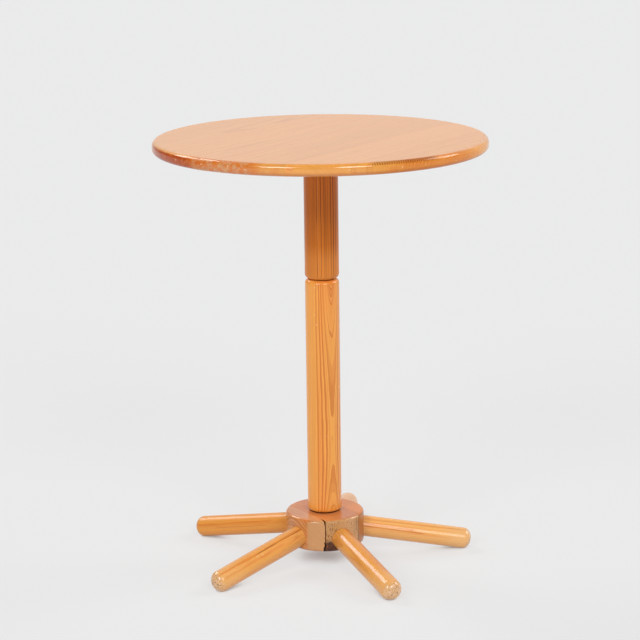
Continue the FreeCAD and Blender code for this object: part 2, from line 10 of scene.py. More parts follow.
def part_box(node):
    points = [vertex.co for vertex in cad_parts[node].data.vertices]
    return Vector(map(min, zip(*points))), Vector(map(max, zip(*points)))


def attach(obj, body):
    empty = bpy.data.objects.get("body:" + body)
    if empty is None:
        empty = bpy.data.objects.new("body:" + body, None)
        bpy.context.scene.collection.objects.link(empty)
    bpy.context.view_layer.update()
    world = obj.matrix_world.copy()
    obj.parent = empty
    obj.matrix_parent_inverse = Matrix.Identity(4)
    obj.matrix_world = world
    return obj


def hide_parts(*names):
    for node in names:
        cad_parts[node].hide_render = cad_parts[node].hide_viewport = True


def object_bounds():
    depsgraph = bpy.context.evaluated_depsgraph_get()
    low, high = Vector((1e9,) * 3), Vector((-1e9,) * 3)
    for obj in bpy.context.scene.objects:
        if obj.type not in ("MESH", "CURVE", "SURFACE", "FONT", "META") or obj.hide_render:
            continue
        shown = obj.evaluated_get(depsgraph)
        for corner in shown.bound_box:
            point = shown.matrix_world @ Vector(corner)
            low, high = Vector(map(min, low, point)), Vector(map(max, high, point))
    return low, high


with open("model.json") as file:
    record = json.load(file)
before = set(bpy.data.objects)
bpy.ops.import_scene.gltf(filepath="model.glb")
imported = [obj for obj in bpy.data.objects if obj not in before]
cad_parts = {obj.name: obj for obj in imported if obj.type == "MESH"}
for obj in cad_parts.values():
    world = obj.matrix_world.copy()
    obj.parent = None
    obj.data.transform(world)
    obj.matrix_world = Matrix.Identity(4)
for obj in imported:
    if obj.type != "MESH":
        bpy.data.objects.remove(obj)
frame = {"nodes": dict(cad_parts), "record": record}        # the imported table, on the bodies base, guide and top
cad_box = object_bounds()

# A varnished pine table. Its top, column, hub and legs are modelled here at the size of their CAD nodes.
# Each piece takes its figure from a log of its own: growth rings round a pith line, so that its faces,
# edges and end grain agree. Lengths are in metres, apart from the figure's, which are in millimetres.

MM = 0.001
UP = Vector((0, 0, 1))

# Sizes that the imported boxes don't give by themselves
BOARD_AZIMUTH = math.radians(56)
BOARD_JOINTS = [-0.189, -0.105, -0.021, 0.063, 0.147, 0.231]
TOP_EDGE_ROUND = 0.008
UPPER_POST_ROUND = 0.0075
UPPER_POST_BORE = 0.0151
LOWER_POST_ROUND = 0.007
BUSH_HOLE = 0.0201
GUIDE_BORE = 0.0173
TENON_RADIUS = 0.016
PIN_HOLE = 0.0031
HUB_AZIMUTH = math.radians(125)
HUB_JOINTS = [-0.028, 0.0374]
HUB_EDGE_ROUND = 0.0055
LEG_RADIUS = 0.0177
LEG_SLOPE = math.radians(10.7)
LEG_ROOT_REACH = 0.028
LEG_REACH = 0.252
LEG_END_ROUND = 0.014
LEG_AZIMUTHS = {
    "leg_back": 80, "leg_left": 152, "leg_front_left": 224, "leg_front_right": 296, "leg_right": 8,
}
JOINT_EASE = 0.0002
SOCKET_GAP = 0.00025
RECESS_GAP = 0.0006
MORTISE_GAP = 0.0001
CUTTER_PAST = 0.01

# Fineness of the turned shapes: sides of a circle, steps round an edge, cuts down a length
TOP_SIDES = 960
POST_SIDES = 128
HUB_SIDES = 256
LEG_SIDES = 96
HOLE_SIDES = 64
PIN_SIDES = 32
EDGE_STEPS = 8
LEG_END_STEPS = 12
EASE_STEPS = 2
UPPER_POST_CUTS = 80
LOWER_POST_CUTS = 160
LEG_CUTS = 90

# Room for picking by place, the shortest upright edge, and angles from which an edge counts as sharp
SAME_POINT = 1e-7
SAME_PLACE = 1e-5
SAME_CIRCLE = 1e-4
SHORTEST_UPRIGHT = 0.002
CUT_SHARP = math.radians(20)
SHADE_SHARP = math.radians(35)

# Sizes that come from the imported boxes
top_low, top_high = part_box("top_board_4")
upper_low, upper_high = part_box("upper_post")
lower_low, lower_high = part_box("lower_post")
hub_low, hub_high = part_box("hub_right_board")
bush_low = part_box("thread_bush")[0]
guide_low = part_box("spindle_guide")[0]
pin_low, pin_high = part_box("bush_pins")
washer_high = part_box("post_washer")[1]
leg_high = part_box("leg_right")[1]
top_radius = min(-cad_box[0][0], -cad_box[0][1], cad_box[1][0], cad_box[1][1])
post_radius = upper_high.x
hub_radius = hub_high.x
leg_root_height = leg_high.z - LEG_RADIUS * math.cos(LEG_SLOPE)
leg_length = (LEG_REACH - LEG_ROOT_REACH) / math.cos(LEG_SLOPE)
node_bodies = {
    node: body for body, nodes in frame["record"]["behaviour"]["bodies"].items() for node in nodes
}


def srgb(red, green, blue):
    """A colour as it looks on screen, 0 to 255, as the linear colour that nodes take."""
    linear = []
    for part in (red, green, blue):
        share = part / 255
        linear.append(share / 12.92 if share <= 0.04045 else ((share + 0.055) / 1.055) ** 2.4)
    return (*linear, 1.0)


def toned(colour, share):
    """A linear colour made lighter or darker."""
    return (*(part * share for part in colour[:3]), 1.0)


def heading(azimuth, rise=0.0):
    """Unit vector at an azimuth and an angle above the horizon, in radians."""
    flat = math.cos(rise)
    return Vector((flat * math.cos(azimuth), flat * math.sin(azimuth), math.sin(rise)))


def round_place(azimuth, radius, height):
    """Place on an upright cylinder round the column's axis; the azimuth is in degrees."""
    return heading(math.radians(azimuth)) * radius + UP * height


def inward(place, depth):
    """Level push of a depth towards the column's axis."""
    return Vector((place.x, place.y, 0)).normalized() * -depth


# Modelling by hand: select in code, then use the edit-mode operators

@contextlib.contextmanager
def editing(piece):
    """Edit mode on one piece alone."""
    choose(piece)
    bpy.ops.object.mode_set(mode="EDIT")
    bpy.ops.mesh.select_all(action="DESELECT")
    yield
    bpy.ops.object.mode_set(mode="OBJECT")


def choose(piece):
    """Make a piece the only selected object, and the active one."""
    bpy.ops.object.select_all(action="DESELECT")
    piece.select_set(True)
    bpy.context.view_layer.objects.active = piece


def pick(kind, test):
    """Select only the faces, edges or vertices of the edited piece that pass a test."""
    mesh = bmesh.from_edit_mesh(bpy.context.edit_object.data)
    bpy.ops.mesh.select_mode(type={"faces": "FACE", "edges": "EDGE", "verts": "VERT"}[kind])
    bpy.ops.mesh.select_all(action="DESELECT")
    for element in getattr(mesh, kind):
        if test(element):
            element.select_set(True)
    mesh.select_flush_mode()
    bmesh.update_edit_mesh(bpy.context.edit_object.data)


def settle(piece):
    """Put a piece's place, turn and scale into its mesh."""
    choose(piece)
    bpy.ops.object.transform_apply(location=True, rotation=True, scale=True)


def add_rod(name, radius, bottom, top, sides):
    """Upright cylinder on the column's axis, the start of a turned piece."""
    bpy.ops.mesh.primitive_cylinder_add(
        vertices=sides, radius=radius, depth=top - bottom, location=(0, 0, (bottom + top) / 2),
    )
    rod = bpy.context.object
    rod.name = name
    settle(rod)
    return rod


def copy_of(piece, name):
    """Another piece with a mesh of its own."""
    choose(piece)
    bpy.ops.object.duplicate(linked=False)
    twin = bpy.context.object
    twin.name = name
    return twin


def distance_out(point):
    """Distance from the column's axis."""
    return math.hypot(point.x, point.y)


def near(first, second, room=SAME_PLACE):
    """Whether two lengths are the same, within some room."""
    return abs(first - second) < room


def any_of(*tests):
    """Test that passes where any one of several does."""
    return lambda element: any(test(element) for test in tests)


def on_circle(radius, height):
    """Test for the edges of a horizontal circle round the column's axis."""
    def on(place):
        return near(distance_out(place), radius, SAME_CIRCLE) and near(place.z, height)
    return lambda edge: all(on(vert.co) for vert in edge.verts)


def on_level(height):
    """Test for the vertices at about a height."""
    return lambda vert: near(vert.co.z, height, SAME_CIRCLE)


def flat_face(height, facing):
    """Test for level faces at a height that face up, 1, or down, -1."""
    def test(face):
        return face.normal.z * facing > 0.9 and near(face.calc_center_median().z, height)
    return test


def upright(radius):
    """Test for the upright edges on the outside of a turned piece."""
    def test(edge):
        first, second = (vert.co for vert in edge.verts)
        outside = all(near(distance_out(end), radius, SAME_CIRCLE) for end in (first, second))
        return outside and abs(first.z - second.z) > SHORTEST_UPRIGHT
    return test


def inset(thickness):
    bpy.ops.mesh.inset(thickness=thickness, use_even_offset=True)


def extrude(height):
    """Draw the selected faces straight up, or down where the height is below nought."""
    bpy.ops.mesh.extrude_region_move(TRANSFORM_OT_translate={"value": (0, 0, height)})


def bevel(offset, segments):
    bpy.ops.mesh.bevel(offset=offset, segments=segments, profile=0.5, affect="EDGES")


def slice_off(point, away):
    """Cut off everything beyond a plane through a point."""
    bpy.ops.mesh.select_all(action="SELECT")
    bpy.ops.mesh.bisect(
        plane_co=point, plane_no=away, use_fill=True, clear_outer=True, threshold=SAME_POINT,
    )


def ease_cut(point, away):
    """Ease the sharp edges that a flat cut has left, in the plane of that cut."""
    def in_plane(edge):
        here = all(abs((vert.co - point).dot(away)) < SAME_PLACE for vert in edge.verts)
        return here and len(edge.link_faces) == 2 and edge.calc_face_angle(0.0) > CUT_SHARP
    pick("edges", in_plane)
    bevel(JOINT_EASE, EASE_STEPS)


def saw_out(across, start, stop, reach):
    """Saw the edited board out of a blank of some reach, between two glue joints, and ease it there."""
    for side, joint in ((-1, start), (1, stop)):
        if abs(joint) < reach:
            slice_off(across * joint, across * side)
            ease_cut(across * joint, across * side)


def carve(piece, cutter):
    """Take one closed shape out of another."""
    choose(piece)
    cut = piece.modifiers.new("carve", "BOOLEAN")
    cut.operation = "DIFFERENCE"
    cut.solver = "EXACT"
    cut.object = cutter
    bpy.ops.object.modifier_apply(modifier=cut.name)


def dent(place, radius, push):
    """Press a soft hollow into the edited piece at its vertex nearest to a place."""
    mesh = bmesh.from_edit_mesh(bpy.context.edit_object.data)
    index = min(mesh.verts, key=lambda vert: (vert.co - place).length_squared).index
    pick("verts", lambda vert: vert.index == index)
    bpy.ops.transform.translate(
        value=push, use_proportional_edit=True, proportional_edit_falloff="SMOOTH",
        proportional_size=radius,
    )


def finish_shape(piece):
    """Close seams, turn all faces outwards, and shade round faces smooth and flat ones flat."""
    with editing(piece):
        bpy.ops.mesh.select_all(action="SELECT")
        bpy.ops.mesh.remove_doubles(threshold=SAME_POINT)
        bpy.ops.mesh.normals_make_consistent(inside=False)
    bpy.ops.object.shade_smooth_by_angle(angle=SHADE_SHARP)
    weighted = piece.modifiers.new("flat_faces_lead", "WEIGHTED_NORMAL")
    weighted.keep_sharp = True
    bpy.ops.object.modifier_apply(modifier=weighted.name)


def dress(piece, node, material):
    """Hand a modelled piece over: it stands for a CAD node, rides on its body and takes its finish."""
    piece.data.materials.clear()
    piece.data.materials.append(material)
    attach(piece, node_bodies[node])
    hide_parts(node)


# Materials: sums on sockets become nodes

class Wire:
    """An output of a node. Sums and products of number outputs add Math nodes."""

    def __init__(self, nodes, socket):
        self.nodes = nodes
        self.socket = socket

    def __add__(self, other):
        return self.nodes.math("ADD", self, other)

    def __sub__(self, other):
        return self.nodes.math("SUBTRACT", self, other)

    def __rsub__(self, other):
        return self.nodes.math("SUBTRACT", other, self)

    def __mul__(self, other):
        return self.nodes.math("MULTIPLY", self, other)

    def __truediv__(self, other):
        return self.nodes.math("DIVIDE", self, other)

    __radd__ = __add__
    __rmul__ = __mul__


class Nodes:
    """A node tree in the making."""

    def __init__(self, tree):
        self.tree = tree
        self.tree.nodes.clear()

    def node(self, kind, settings=None, sockets=None, output=0):
        """Add a node, set it up, then feed its sockets with values or wires."""
        node = self.tree.nodes.new(kind)
        for name, value in (settings or {}).items():
            setattr(node, name, value)
        for key, value in (sockets or {}).items():
            if isinstance(value, Wire):
                self.tree.links.new(value.socket, node.inputs[key])
            else:
                node.inputs[key].default_value = value
        return Wire(self, node.outputs[output]) if len(node.outputs) else node

    def math(self, operation, first, second=0.0):
        return self.node("ShaderNodeMath", {"operation": operation}, {0: first, 1: second})

    def vector(self, operation, first, second=(0, 0, 0), output="Vector"):
        return self.node("ShaderNodeVectorMath", {"operation": operation}, {0: first, 1: second}, output)

    def dot(self, first, second):
        return self.vector("DOT_PRODUCT", first, second, "Value")

    def ray(self, kind):
        """1 for rays of a kind, such as Camera or Glossy."""
        return self.node("ShaderNodeLightPath", output=f"Is {kind} Ray")

    def smooth(self, value, low, high):
        """0 below low and 1 above high, with an eased step between; low may be the larger."""
        if low > high:
            return 1 - self.smooth(value, high, low)
        return self.node(
            "ShaderNodeMapRange", {"interpolation_type": "SMOOTHSTEP"},
            {"Value": value, "From Min": low, "From Max": high},
        )


class Finish(Nodes):
    """A material in the making."""

    def __init__(self, name):
        self.material = bpy.data.materials.new(name)
        self.material.use_nodes = True
        super().__init__(self.material.node_tree)
        self.place = self.node("ShaderNodeTexCoord", output="Object")
        self.facing = self.node("ShaderNodeTexCoord", output="Normal")

    def along(self, direction):
        """How far a place on the piece lies along a direction, in metres."""
        return self.dot(self.place, direction)

    def from_axis(self):
        """Distance from the column's axis, in metres."""
        return self.vector("LENGTH", self.vector("MULTIPLY", self.place, (1, 1, 0)), output="Value")

    def sector(self, azimuth, half_width, soft):
        """1 in a sector round the column's axis: its middle, half width and soft edge in degrees."""
        flat = self.vector("NORMALIZE", self.vector("MULTIPLY", self.place, (1, 1, 0)))
        nearness = self.dot(flat, heading(math.radians(azimuth)))
        edge = math.cos(math.radians(half_width + soft))
        inner = math.cos(math.radians(max(half_width - soft, 0)))
        return self.smooth(nearness, edge, inner)

    def looking(self, direction, low, high):
        """Eased step on the way that the surface looks: 1 is along a direction, and -1 against it."""
        return self.smooth(self.dot(self.facing, direction), low, high)

    def noise(self, place, detail=2.0, roughness=0.5, output="Fac"):
        sockets = {"Vector": place, "Scale": 1.0, "Detail": detail, "Roughness": roughness}
        return self.node("ShaderNodeTexNoise", None, sockets, output)

    def cloud(self, size, detail=2.0, roughness=0.5):
        """Noise with blots of about a size in millimetres, alike in all directions."""
        scale = 1 / (size * MM)
        return self.noise(self.vector("MULTIPLY", self.place, (scale, scale, scale)), detail, roughness)

    def mix(self, share, first, second, blend="MIX"):
        """Blend two colours."""
        settings = {"data_type": "RGBA", "blend_type": blend, "clamp_factor": True}
        return self.node("ShaderNodeMix", settings, {0: share, 6: first, 7: second}, 2)

    def shade(self, colour, amount):
        """A colour times a number."""
        grey = self.node("ShaderNodeCombineColor", None, {0: amount, 1: amount, 2: amount})
        return self.mix(1.0, colour, grey, "MULTIPLY")

    def bump(self, height, distance):
        sockets = {"Height": height, "Distance": distance, "Strength": 1.0}
        return self.node("ShaderNodeBump", None, sockets)

    def close(self, **sockets):
        """Join the principled shader to the output; a socket's name has _ for its spaces."""
        named = {name.replace("_", " "): value for name, value in sockets.items()}
        shader = self.node("ShaderNodeBsdfPrincipled", None, named)
        self.node("ShaderNodeOutputMaterial", None, {"Surface": shader})
        return self.material


class Log:
    """The tree that a piece was sawn from: its pith line, how its rings look and how it bends.

    A ring is the width of the first one, and a spread below 1 makes the later ones wider and wider.
    A bend is a sideways shift of the pith in millimetres, the place where it is that large, and the
    distance down the grain over which it fades to a third; below nought it fades the other way.
    """

    def __init__(self, pith, grain, ring=2.6, spread=1.0, wander=3.0, ripple=0.7, bends=()):
        grain = Vector(grain).normalized()
        side = grain.cross(UP if abs(grain.z) < 0.9 else Vector((1, 0, 0))).normalized()
        self.pith = Vector(pith)
        self.grain = grain
        self.frame = Matrix((grain, side, grain.cross(side)))
        self.turn = self.frame.transposed().to_euler()
        self.ring = ring
        self.spread = spread
        self.wander = wander
        self.ripple = ripple
        self.bends = bends


EARLYWOOD = srgb(242, 158, 56)
LATEWOOD = srgb(204, 100, 26)
HEART = srgb(222, 116, 42)
RESIN = srgb(110, 48, 14)
BARE = srgb(250, 214, 158)
END_TAN = srgb(234, 188, 136)
SCUFF = srgb(240, 198, 172)
PIT = srgb(96, 58, 28)
# Dark brown for streaks of grain, and for painted shade in the opened joint and round the post's foot
DARK_STREAK_AND_PAINTED_SHADE = srgb(56, 26, 14)
BEECH_PALE = srgb(214, 170, 124)
BEECH_BROWN = srgb(188, 138, 96)
BEECH_FLECK = srgb(132, 82, 50)
ZINC_DULL = srgb(178, 180, 178)
ZINC_BRIGHT = srgb(214, 214, 206)
# How strongly the varnish mirrors, as an index of refraction: in general, and where it is older
VARNISH_GLOSS = 1.5
TOP_GLOSS = 1.43
UPPER_POST_GLOSS = 1.32


class Wood(Finish):
    """A finish that follows the grain of a log."""

    def __init__(self, name, log):
        super().__init__(name)
        self.log = log
        self.raw = self.node("ShaderNodeMapping", {"vector_type": "TEXTURE"}, {
            "Vector": self.place, "Location": log.pith, "Rotation": log.turn, "Scale": (MM, MM, MM),
        })

    def drawn_out(self, length, width, detail=2.0, roughness=0.5, output="Fac"):
        """Noise with blots of a length along the grain and a width across it, in millimetres."""
        place = self.vector("MULTIPLY", self.raw, (1 / length, 1 / width, 1 / width))
        return self.noise(place, detail, roughness, output)


class Pine(Wood):
    """Varnished pine: first its rings, then stains and wear laid over them, then done()."""

    def __init__(self, name, log, early=EARLYWOOD, late=LATEWOOD, contrast=0.6, line=0.45, shine=0.2):
        super().__init__(name, log)
        self.gloss = VARNISH_GLOSS
        self.varnish = 0.0
        self.fibre = self.drawn_out(70, 0.9, 3.0, 0.6)
        self.band = self.drawn_out(420, 14)
        self.radius = self.distance_from_pith()
        self.rings = self.latewood(line)
        duct = self.smooth(self.drawn_out(11, 0.5, 1.0), 0.70, 0.78)
        colour = self.mix(self.rings * contrast, early, late)
        colour = self.shade(colour, 0.80 + 0.26 * self.fibre + 0.22 * (self.band - 0.3))
        colour = self.mix(self.smooth(self.band, 0.52, 0.75) * 0.4, colour, HEART)
        self.colour = self.mix(duct * 0.35, colour, RESIN)
        self.roughness = shine + 0.06 * (self.fibre - 0.5)
        self.height = 0.5 * self.rings + 0.35 * self.fibre + 0.8 * self.drawn_out(16, 5)

    def aside(self, length, width, detail, reach):
        """Uneven shift across the grain, up to about half a reach in millimetres."""
        shift = self.drawn_out(length, width, detail, output="Color")
        shift = self.vector("SUBTRACT", shift, (0.5, 0.5, 0.5))
        return self.vector("MULTIPLY", shift, (0, reach, reach))

    def distance_from_pith(self):
        """Distance to the pith in millimetres, with the wander and ripple of real rings."""
        place = self.vector("ADD", self.raw, self.aside(320, 55, 1.0, self.log.wander))
        place = self.vector("ADD", place, self.aside(45, 7, 2.0, self.log.ripple))
        for shift, where, fade in self.log.bends:
            start = (Vector(where) - self.log.pith).dot(self.log.grain) / MM
            length = self.dot(self.raw, (1, 0, 0))
            growth = self.math("EXPONENT", (length - start) / fade)
            place = self.vector("SUBTRACT", place, self.vector("MULTIPLY", growth, self.log.frame @ shift))
        return self.vector("LENGTH", self.vector("MULTIPLY", place, (0, 1, 1)), output="Value")

    def latewood(self, line):
        """Dark wood at the end of each ring, 1 where darkest; a larger line makes it thinner."""
        count = self.math("POWER", self.radius / self.log.ring, self.log.spread)
        pace = self.node(
            "ShaderNodeTexNoise", {"noise_dimensions": "1D"}, {"W": count * 0.31, "Detail": 1.0},
        )
        count = count + 1.6 * pace
        share = self.math("FRACT", count)
        whole = self.math("FLOOR", count)
        strength = self.node("ShaderNodeTexWhiteNoise", {"noise_dimensions": "1D"}, {"W": whole}, "Value")
        dark = self.smooth(share, line, 0.93) * self.smooth(share, 1.0, 0.94)
        return dark * (0.4 + 0.6 * strength)

    def stain(self, mask, colour, share):
        self.colour = self.mix(mask * share, self.colour, colour)

    def tinted(self, colour):
        """A stain colour with the fibres showing through."""
        return self.shade(colour, 0.72 + 0.56 * self.fibre)

    def dull(self, mask, amount):
        self.roughness = self.roughness + amount * mask

    def end_grain(self, colour, share, edges, ragged=0.0):
        """Colour for the faces that cut across the grain."""
        across = self.math("ABSOLUTE", self.dot(self.facing, self.log.grain))
        mask = self.smooth(across + ragged * (self.cloud(5, 2.0) - 0.5), *edges)
        speck = self.cloud(1.3, 2.0, 0.7)
        self.stain(mask, self.shade(colour, 0.78 + 0.44 * speck), share)
        return mask

    def pits(self, mask, size, low, high):
        """Small dark holes where a mask is."""
        hole = self.smooth(self.cloud(size, 1.0), low, high) * mask
        self.stain(hole, PIT, 0.8)
        self.height = self.height - 2.0 * hole

    def streak(self, start, stop, width, colour, share):
        """A line of other grain between two places on the surface."""
        run = stop - start
        offset = self.vector("SUBTRACT", self.place, start)
        unit = run.normalized()
        length = self.dot(offset, unit)
        gap = self.vector("LENGTH", self.vector("CROSS_PRODUCT", offset, unit), output="Value")
        uneven = self.drawn_out(26, 3) - 0.5
        mask = self.smooth(gap + 1.6 * width * uneven, width, 0.2 * width)
        soft = 0.06 * run.length
        ends = self.smooth(length, -soft, soft) * self.smooth(length, run.length + soft, run.length - soft)
        self.stain(mask * ends, colour, share)

    def worn_marks(self, marks):
        """Bare, ragged spots; each mark is a place and a radius."""
        ragged = self.cloud(2.4, 2.0) - 0.5
        for place, radius in marks:
            away = self.vector("DISTANCE", self.place, place, "Value") + 3.0 * radius * ragged
            mask = self.smooth(away, radius, 0.4 * radius)
            self.stain(mask, BARE, 0.7)
            self.dull(mask, 0.15)

    def done(self):
        return self.close(
            Base_Color=self.colour, Roughness=self.roughness, IOR=self.gloss,
            Coat_Weight=self.varnish, Coat_Roughness=0.06,
            Normal=self.bump(self.height, 0.00008),
        )


def beech(name, grain):
    """Bare waxed beech with its short dark flecks."""
    wood = Wood(name, Log((0, 0, 0), grain))
    fleck = wood.smooth(wood.drawn_out(3.5, 0.45, 1.0), 0.60, 0.72)
    band = wood.drawn_out(120, 5, 3.0)
    colour = wood.mix(band, BEECH_PALE, BEECH_BROWN)
    colour = wood.mix(fleck * 0.55, colour, BEECH_FLECK)
    return wood.close(
        Base_Color=colour, Roughness=0.42 + 0.16 * band, Normal=wood.bump(fleck + 0.5 * band, -0.00005),
    )


def zinc(name):
    """Bright zinc plate with a soft mottle."""
    metal = Finish(name)
    mottle = metal.cloud(2.2, 3.0)
    return metal.close(
        Base_Color=metal.mix(mottle, ZINC_DULL, ZINC_BRIGHT), Metallic=1.0,
        Roughness=0.26 + 0.22 * mottle, Normal=metal.bump(metal.cloud(0.4, 1.0), 0.00002),
    )


# The top: one turned disc, cut along its glue joints

grain_of_top = heading(BOARD_AZIMUTH)
across_top = heading(BOARD_AZIMUTH + math.pi / 2)
# Where each board's pith lay, aside of its middle and above its underside; then the width of its rings in
# millimetres, how strong they are, and how light the board is
TOP_LOGS = [
    (-0.115, 0.002, 1.8, 0.46, 1.00), (0.070, -0.050, 2.4, 0.44, 1.03), (-0.060, -0.030, 2.5, 0.46, 0.97),
    (0.030, 0.075, 3.0, 0.42, 1.00), (0.085, 0.004, 2.4, 0.46, 1.02), (-0.026, -0.060, 2.7, 0.48, 0.96),
    (0.070, -0.020, 2.5, 0.46, 1.00),
]
# How the grain of every other board rises, and how far along one log the next board's lies
TOP_SLANTS = (-0.009, 0.012)
TOP_LOG_STEP = 0.9
# Knocks on the rim: azimuth in degrees, distance below the top face, radius and depth
RIM_CHIPS = [
    (-148.5, 0.004, 0.0032, 0.0005), (-145.5, 0.009, 0.0026, 0.0004), (-139, 0.006, 0.0024, 0.0004),
    (-132, 0.009, 0.0036, 0.0006), (-127.5, 0.012, 0.0028, 0.0005), (-121, 0.007, 0.0032, 0.0005),
    (-115, 0.011, 0.0034, 0.0006), (-113.8, 0.015, 0.0022, 0.0004), (-111.2, 0.0155, 0.0028, 0.0005),
    (-81, 0.010, 0.0026, 0.0005), (-78, 0.013, 0.0020, 0.0003), (-63, 0.010, 0.0030, 0.0006),
    (-54, 0.011, 0.0020, 0.0004), (-40, 0.012, 0.0022, 0.0004), (20, 0.009, 0.0026, 0.0005),
    (74, 0.011, 0.0030, 0.0005), (118, 0.008, 0.0024, 0.0004), (163, 0.012, 0.0034, 0.0005),
]
RIM_STAIN = srgb(176, 60, 0)
RIM_STAIN_LIGHT = srgb(219, 105, 16)
RIM_PALE = srgb(220, 164, 106)
RIM_ROSE = srgb(214, 130, 82)
TOP_EARLYWOOD = srgb(245, 168, 76)
TOP_LATEWOOD = srgb(206, 104, 32)
# Paler top face: partly worn, partly a painted sheen
TOP_PALE_AND_PAINTED_SHEEN = srgb(238, 183, 146)
RIM_AMBER = srgb(222, 126, 42)
# Painted shade for the underside of the rim
RIM_PAINTED_SHADE = srgb(192, 98, 30)
RIM_TICK = srgb(108, 38, 2)
# Rings that crop out at the front right of the rim: width of one in millimetres, then the way along the
# rim and the distance from one dark end to the next in metres
RIM_RING = 2.6
RIM_TICK_WAY = heading(math.radians(22))
RIM_TICK_STEP = 0.0040
# Stretches of the rim, as sectors
RIM_VARNISHED = (-102, 27, 5)
RIM_AMBERED = (-48, 16, 6)
RIM_HANDLED = (-152, 18, 8)
RIM_LIGHTER = (-124, 13, 4)
RIM_RUBBED = (-125, 11, 3)
RIM_RINGED = (-56, 5, 3)
RIM_TICKED = (-61, 12, 2)


def on_rim(wood):
    """1 on the rounded rim, 0 on the flat of the top."""
    return wood.smooth(wood.from_axis(), top_radius - TOP_EDGE_ROUND, top_radius - 0.7 * TOP_EDGE_ROUND)


def rim_wear_and_painted_shade(wood):
    """Handled dark stretch on the left, rubbed patch beside it, amber on the right, painted shade below."""
    rim = on_rim(wood)
    wood.dull(rim, -0.05)
    wood.varnish = rim * wood.sector(*RIM_VARNISHED)
    wood.stain(rim * wood.sector(*RIM_AMBERED), wood.tinted(RIM_AMBER), 0.6)
    # Painted shade: the rim is darkened where it looks down
    below = wood.looking(UP, 0.1, -0.7)
    wood.stain(rim * below, wood.tinted(RIM_PAINTED_SHADE), 0.55)
    dark = rim * wood.sector(*RIM_HANDLED) * wood.looking(UP, 0.85, 0.5)
    blotch = wood.smooth(wood.cloud(7, 3.0, 0.6), 0.50, 0.64)
    wood.stain(dark, wood.mix(blotch * 0.6, wood.tinted(RIM_STAIN), RIM_STAIN_LIGHT), 0.9)
    wood.stain(rim * wood.sector(*RIM_LIGHTER), wood.tinted(RIM_STAIN_LIGHT), 0.7)
    rubbed = wood.smooth(wood.cloud(13, 3.0, 0.6), 0.44, 0.53) * rim * wood.sector(*RIM_RUBBED)
    wood.stain(rubbed, wood.mix(wood.smooth(wood.cloud(4), 0.45, 0.6), RIM_PALE, RIM_ROSE), 0.8)
    wood.dull(rubbed, 0.25)


def top_pine(node, log_facts, middle, chips, slant):
    aside, above, ring, contrast, tone = log_facts
    pith = middle + across_top * aside + UP * (top_low.z + above)
    log = Log(pith, grain_of_top + UP * slant, ring=ring)
    early = toned(TOP_EARLYWOOD, tone)
    late = toned(TOP_LATEWOOD, tone)
    wood = Pine(f"pine_{node}", log, early, late, contrast, line=0.5, shine=0.17)
    wood.gloss = TOP_GLOSS
    # Faces that look up are made paler, partly as a painted sheen, and a little rougher
    facing_up = wood.looking(UP, 0.8, 0.98)
    wood.stain(facing_up, TOP_PALE_AND_PAINTED_SHEEN, 0.4)
    wood.dull(facing_up, 0.07)
    rim_wear_and_painted_shade(wood)
    rim = on_rim(wood)
    side_rings = wood.smooth(wood.math("FRACT", wood.radius / RIM_RING), 0.5, 0.7)
    side_round = wood.looking(UP, -0.2, 0.3) * wood.sector(*RIM_RINGED)
    wood.stain(rim * side_round * side_rings, RIM_STAIN, 0.45)
    ticks = wood.smooth(wood.math("FRACT", wood.along(RIM_TICK_WAY) / RIM_TICK_STEP), 0.45, 0.65)
    upper_round = wood.looking(UP, 0.3, 0.5) * wood.sector(*RIM_TICKED)
    wood.stain(rim * upper_round * ticks, RIM_TICK, 0.9)
    dash = wood.smooth(wood.drawn_out(26, 1.4, 1.0), 0.71, 0.78)
    wood.stain(dash * facing_up, RIM_TICK, 0.45)
    wood.worn_marks([(place, radius * 0.55) for place, radius, depth in chips])
    return wood.done()


def chips_on_board(start, stop):
    """The knocks on the rim that fall on one board: place, radius and depth."""
    found = []
    for azimuth, below, radius, depth in RIM_CHIPS:
        place = round_place(azimuth, top_radius, top_high.z - below)
        if start < place.dot(across_top) < stop:
            found.append((place, radius, depth))
    return found


def make_top():
    disc = add_rod("top_blank", top_radius, top_low.z, top_high.z, TOP_SIDES)
    with editing(disc):
        pick("edges", any_of(on_circle(top_radius, top_low.z), on_circle(top_radius, top_high.z)))
        bevel(TOP_EDGE_ROUND, EDGE_STEPS)
    edges = [-top_radius] + BOARD_JOINTS + [top_radius]
    for index, (start, stop) in enumerate(zip(edges, edges[1:])):
        node = f"top_board_{index + 1}"
        board = copy_of(disc, f"{node}_pine")
        chips = chips_on_board(start, stop)
        with editing(board):
            saw_out(across_top, start, stop, top_radius)
            for place, radius, depth in chips:
                dent(place, radius, inward(place, depth))
            # Nothing stands above the top face, not even by a rounding error
            pick("verts", lambda vert: vert.co.z > top_high.z)
            bpy.ops.transform.resize(value=(1, 1, 0), center_override=(0, 0, top_high.z))
        finish_shape(board)
        middle = across_top * ((start + stop) / 2) + grain_of_top * (TOP_LOG_STEP * index)
        finish = top_pine(node, TOP_LOGS[index], middle, chips, TOP_SLANTS[index % 2])
        dress(board, node, finish)
    bpy.data.objects.remove(disc)


# The column: two turned posts

AGED_EARLYWOOD = srgb(216, 122, 30)
AGED_LATEWOOD = srgb(100, 32, 2)
# Pale for a streak of grain, and painted light on the lower end of the upper post
PALE_STREAK_AND_PAINTED_LIGHT = srgb(236, 156, 78)
POST_EARLYWOOD = srgb(248, 170, 76)
POST_LATEWOOD = srgb(196, 88, 20)
UPPER_POST_PITH = heading(math.radians(53)) * 0.045
# Lines down the front of the upper post: azimuth in degrees, width, colour and strength
UPPER_POST_LINES = [(-102.4, 0.0010, PALE_STREAK_AND_PAINTED_LIGHT, 0.5), (-105, 0.0009, RESIN, 0.6)]
